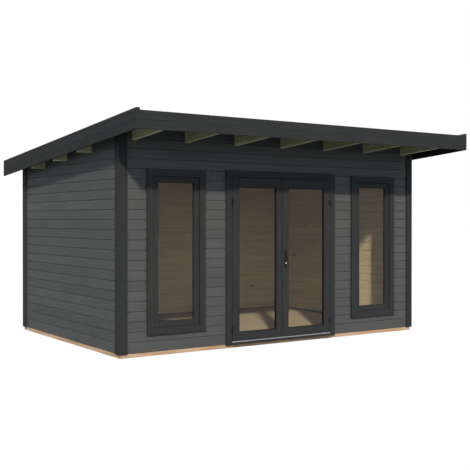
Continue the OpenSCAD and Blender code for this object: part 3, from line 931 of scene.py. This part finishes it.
easedMetal("lever_handle", "door_handle", metalLook["handleEdge"], [darkMetal, leverMetal],
           "right_door", plateOrLever)
easedMetal("lock_barrel", "lock_cylinder", metalLook["lockEdge"], [lockSteel], "right_door")
easedMetal("hinge_pins", "hinge_frame_halves", metalLook["hingeEdge"], [darkMetal], "shed")
for side in sides:
    easedMetal("hinge_eyes_" + side, side + "_hinge_leaf_halves", metalLook["hingeEdge"], [darkMetal],
               side + "_door")
keySlots()
print("ironmongery built")


# screws in the trims, casings, hinges and handle plates

screwLook = {
    "trim": 0.004, "hinge": 0.0026, "plate": 0.0028,  # radius of each kind
    "sides": 12, "rise": 0.18, "sunk": 0.0004,
    "spacing": 0.42, "end": 0.05, "wideBoard": 0.1, "inPairs": (0.25, 0.75), "single": (0.5,),
    "hingeIn": 0.0095, "hingeEnd": 0.010, "hingePlate": 0.0025, "knuckle": 0.042,
    "plateEnd": 0.012, "handlePlate": 0.008}
# radius and height of each ring of the head
screwRings = ((1.0, 0.0), (0.96, 0.6), (0.8, 1.0), (0.42, 1.0), (0.36, 0.15))
frontWay, backWay = Vector((0, -1, 0)), Vector((0, 1, 0))


def addScrew(piece, centre, out, radius):  # a low round head with a sunk drive hole
    right = out.orthogonal().normalized()
    ahead = out.cross(right)
    count, rings = screwLook["sides"], len(screwRings)
    points, faces = [], []
    for n, (wide, high) in enumerate(screwRings):
        lift = high * radius * screwLook["rise"] if n else -screwLook["sunk"]
        for i in range(count):
            turn = 2 * math.pi * i / count
            spoke = right * math.cos(turn) + ahead * math.sin(turn)
            points.append(centre + out * lift + spoke * radius * wide)
    for n in range(rings - 1):
        for i in range(count):
            j = (i + 1) % count
            faces.append([n * count + i, n * count + j, (n + 1) * count + j, (n + 1) * count + i])
    faces += [list(range(count))[::-1], list(range((rings - 1) * count, rings * count))]
    addFaces(piece, points, faces, axes=[0, 1, 2])


def boardScrews(piece, low, high):  # along the outer face of an upright or level board
    length, width, thin = grainAxes([low, high])
    out = Vector((0, 0, 0))
    out[thin] = 1.0 if low[thin] + high[thin] > 0 else -1.0
    run = high[length] - low[length] - 2 * screwLook["end"]
    count = max(2, round(run / screwLook["spacing"]) + 1)
    shares = screwLook["inPairs" if high[width] - low[width] > screwLook["wideBoard"] else "single"]
    for i in range(count):
        for share in shares:
            centre = (low + high) / 2
            centre[thin] = high[thin] if out[thin] > 0 else low[thin]
            centre[width] = low[width] + share * (high[width] - low[width])
            centre[length] = low[length] + screwLook["end"] + i * run / (count - 1)
            addScrew(piece, centre, out, screwLook["trim"])


def trimScrews():
    piece = newPiece()
    for corner in houseCorners:
        for points in solidsOf("corner_trim_" + corner):
            low, high = boxOf(points)
            high.z -= screwLook["end"]  # the top is cut to the roof's slope
            boardScrews(piece, low, high)
    for casing in ("door_casing", "left_window_casing", "right_window_casing"):
        for points in solidsOf(casing):
            boardScrews(piece, *boxOf(points))
    return finishPiece(piece, "trim_screws", [screwSteel], "shed",
                       smooth=metalLook["smoothAngle"])


def hingeScrews(name, node, body, plateOut):  # plateOut: the plate lies away from the door's middle
    piece = newPiece()
    for points in solidsOf(node):
        low, high = boxOf(points)
        outward = (low.x + high.x > 0) == plateOut
        x = high.x - screwLook["hingeIn"] if outward else low.x + screwLook["hingeIn"]
        y = high.y - screwLook["hingePlate"]
        for z in (low.z + screwLook["hingeEnd"], low.z + screwLook["knuckle"] - screwLook["hingeEnd"]):
            addScrew(piece, Vector((x, y, z)), frontWay, screwLook["hinge"])
    return finishPiece(piece, name, [screwSteel], body, smooth=metalLook["smoothAngle"])


def plateScrews():
    low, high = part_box("door_handle")
    lockLow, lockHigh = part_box("lock_cylinder")
    x, plate = (lockLow.x + lockHigh.x) / 2, screwLook["handlePlate"]
    piece = newPiece()
    for z in (low.z + screwLook["plateEnd"], high.z - screwLook["plateEnd"]):
        addScrew(piece, Vector((x, leafLow.y - plate, z)), frontWay, screwLook["plate"])
        addScrew(piece, Vector((x, leafHigh.y + plate, z)), backWay, screwLook["plate"])
    return finishPiece(piece, "handle_screws", [darkMetal], "right_door",
                       smooth=metalLook["smoothAngle"])


trimScrews()
hingeScrews("hinge_screws_frame", "hinge_frame_halves", "shed", True)
for side in sides:
    hingeScrews("hinge_screws_" + side, side + "_hinge_leaf_halves", side + "_door", False)
plateScrews()
print("screws driven")


# camera, light and floor

shotLook = {
    "place": (-6.3541, -9.9310, 1.5429), "tilt": 89.6235, "turn": -33.8287,
    "lens": 64.84, "sensor": 36.0, "shiftUp": -0.02246}
lightLook = {
    "sun": (-0.44, -0.725, 0.53), "sunPower": 3.0, "sunSoftness": 3.0, "sunColour": (1.0, 0.95, 0.865),
    "horizon": rgb(0.86, 0.94, 1.03), "zenith": rgb(0.20, 0.30, 0.40),
    "skySpan": (0.0, 0.5), "skyPower": 1.6}
floorStage = {"half": 60.0, "tone": rgb(0.24, 0.24, 0.24), "lift": 0.82, "rough": 0.9}
white = rgb(1.0, 1.0, 1.0)


def setCamera():
    data = bpy.data.cameras.new("camera")
    data.sensor_width = shotLook["sensor"]
    data.lens = shotLook["lens"]
    data.shift_y = shotLook["shiftUp"]
    camera = bpy.data.objects.new("camera", data)
    camera.location = shotLook["place"]
    camera.rotation_euler = (math.radians(shotLook["tilt"]), 0, math.radians(shotLook["turn"]))
    bpy.context.scene.collection.objects.link(camera)
    bpy.context.scene.camera = camera


def seenDirectly(tree):  # by the camera, in metal or through glass
    path = addNode(tree, "ShaderNodeLightPath")
    clear = maths(tree, "MAXIMUM", path.outputs["Is Camera Ray"], path.outputs["Is Transmission Ray"])
    return maths(tree, "MAXIMUM", clear, path.outputs["Is Glossy Ray"])


def setLight():
    data = bpy.data.lights.new("sun", "SUN")
    data.energy = lightLook["sunPower"]
    data.angle = math.radians(lightLook["sunSoftness"])
    data.color = lightLook["sunColour"]
    sun = bpy.data.objects.new("sun", data)
    sun.rotation_euler = Vector(lightLook["sun"]).to_track_quat("Z", "Y").to_euler()
    bpy.context.scene.collection.objects.link(sun)
    world = bpy.data.worlds.new("studio")
    world.use_nodes = True
    bpy.context.scene.world = world
    tree = world.node_tree
    sky = tree.nodes["Background"]
    sky.inputs["Strength"].default_value = lightLook["skyPower"]
    way = addNode(tree, "ShaderNodeTexCoord").outputs["Generated"]
    rise = addNode(tree, "ShaderNodeSeparateXYZ", {0: way}).outputs["Z"]
    share = remap(tree, rise, lightLook["skySpan"])
    glow = blendColour(tree, share, lightLook["horizon"], lightLook["zenith"])
    tree.links.new(glow, sky.inputs["Color"])
    plain = addNode(tree, "ShaderNodeBackground", {"Color": white, "Strength": 1.0})
    mix = addNode(tree, "ShaderNodeMixShader", {
        0: seenDirectly(tree), 1: sky.outputs[0], 2: plain.outputs[0]})
    tree.links.new(mix.outputs[0], tree.nodes["World Output"].inputs["Surface"])


def setFloor():
    mesh = bpy.data.meshes.new("studio_floor")
    half = floorStage["half"]
    corners = [(-half, -half, 0), (half, -half, 0), (half, half, 0), (-half, half, 0)]
    mesh.from_pydata(corners, [], [(0, 1, 2, 3)])
    floor = bpy.data.objects.new("studio_floor", mesh)
    bpy.context.scene.collection.objects.link(floor)
    material, tree, shader = startMaterial("studio floor", {
        "Base Color": floorStage["tone"], "Roughness": floorStage["rough"], "Specular IOR Level": 0.0})
    share = maths(tree, "MULTIPLY", seenDirectly(tree), floorStage["lift"])
    lift = addNode(tree, "ShaderNodeEmission", {"Color": white, "Strength": share})
    both = addNode(tree, "ShaderNodeAddShader", {0: shader.outputs[0], 1: lift.outputs[0]})
    tree.links.new(both.outputs[0], tree.nodes["Material Output"].inputs["Surface"])
    mesh.materials.append(material)


setCamera()
setLight()
setFloor()
bpy.context.scene.view_settings.view_transform = "Standard"
print("camera, light and floor set")
